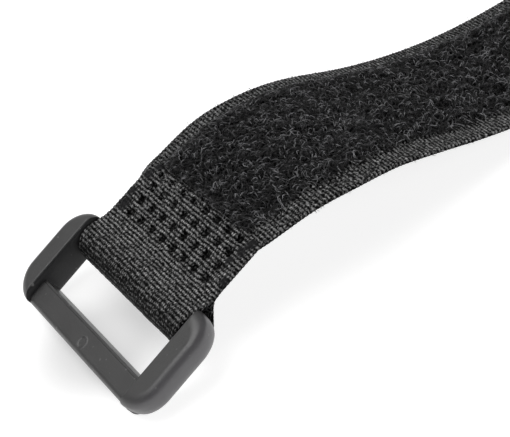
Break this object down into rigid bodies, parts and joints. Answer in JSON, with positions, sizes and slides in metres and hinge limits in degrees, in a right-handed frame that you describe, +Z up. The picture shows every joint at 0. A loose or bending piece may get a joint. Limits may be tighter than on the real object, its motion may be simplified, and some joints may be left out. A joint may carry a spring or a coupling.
{
  "type": "hook and loop cable tie",
  "caption": "Woven loop tape strap folded and welded round the bar of a moulded ring buckle, with a hook tab at the far end, for bundling cables.",
  "frame": {"origin": "middle of the tie's footprint on the surface it lies on", "axes": "+X along the tape from the buckle to the hook tab, +Y across the tape, +Z up"},
  "size_m": [0.1968, 0.0318, 0.0129],
  "materials": {
    "woven_loop_tape": "woven, with a brushed loop pile",
    "hook_strip": "moulded hooks",
    "black_nylon": "satin"
  },
  "bodies": {
    "strap": {"strap": "woven_loop_tape", "hook_tab": "hook_strip"},
    "buckle": {"buckle": "black_nylon"}
  },
  "joints": [
    {"name": "buckle_swing", "type": "hinge", "parent": "strap", "child": "buckle", "pos_m": [-0.08761, 0, 0.00445], "axis": [0, 1, 0], "range_deg": [-150, 150]}
  ]
}
